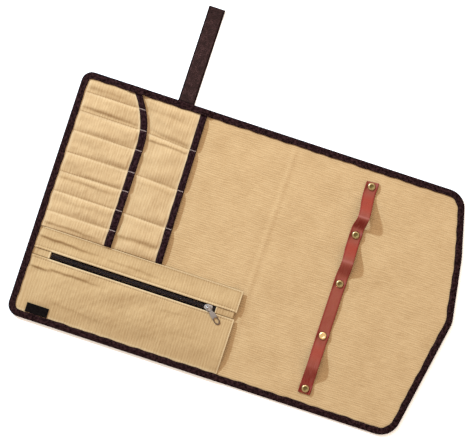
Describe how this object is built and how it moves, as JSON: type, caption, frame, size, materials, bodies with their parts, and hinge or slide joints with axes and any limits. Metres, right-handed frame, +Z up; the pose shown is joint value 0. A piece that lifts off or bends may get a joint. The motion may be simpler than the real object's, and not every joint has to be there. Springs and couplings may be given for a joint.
{
  "type": "cutlery roll bag",
  "caption": "Canvas cutlery roll laid open flat, with two tiers of utensil pockets, a zip pocket, a riveted leather loop strap and a closing strap.",
  "frame": {"origin": "middle of the outer box's footprint, on the surface that the open roll lies on", "axes": "+X along the roll from the pocket end to the pointed end, +Y from the bottom edge to the edge with the closing strap, +Z up from the surface to the roll's inner side"},
  "size_m": [0.6304, 0.524, 0.0207],
  "materials": {
    "canvas": "sand-coloured ribbed cotton canvas",
    "pocket_canvas": "sand-coloured ribbed cotton canvas",
    "zip_canvas": "sand-coloured ribbed cotton canvas",
    "edge_tape": "dark brown woven tape, matte",
    "mouth_tape": "dark brown woven tape, matte",
    "loop_pile": "dark brown looped pile with woven edges",
    "zip_tape": "black woven zip tape",
    "zip_coil": "dark coil teeth, slightly glossy",
    "zip_steel": "nickel-plated slider and puller",
    "label_cloth": "black woven tape",
    "leather": "reddish-brown smooth leather, satin",
    "rivet_brass": "antique brass caps"
  },
  "bodies": {
    "roll": {"base_panel": "canvas", "edge_binding": "edge_tape", "wide_pocket_panel": "pocket_canvas", "wide_mouth_binding": "mouth_tape", "narrow_pocket_panel_1": "pocket_canvas", "narrow_pocket_panel_2": "pocket_canvas", "narrow_pocket_panel_3": "pocket_canvas", "narrow_pocket_panel_4": "pocket_canvas", "narrow_mouth_binding": "mouth_tape", "zip_pocket_lower": "zip_canvas", "zip_pocket_upper": "zip_canvas", "zip_end_tab_left": "zip_canvas", "zip_end_tab_right": "zip_canvas", "zip_tape_lower": "zip_tape", "zip_tape_upper": "zip_tape", "zip_chain": "zip_coil", "zip_slider": "zip_steel", "label_tab": "label_cloth", "leather_strap": "leather", "rivet_1": "rivet_brass", "rivet_2": "rivet_brass", "rivet_3": "rivet_brass", "rivet_4": "rivet_brass", "rivet_5": "rivet_brass", "closing_strap": "loop_pile"},
    "zip_puller": {"zip_puller": "zip_steel"}
  },
  "joints": [
    {"name": "zip_puller_swing", "type": "hinge", "parent": "roll", "child": "zip_puller", "pos_m": [-0.03323, -0.1615, 0.0118], "axis": [-0.6428, -0.766, 0], "range_deg": [0, 150]}
  ]
}
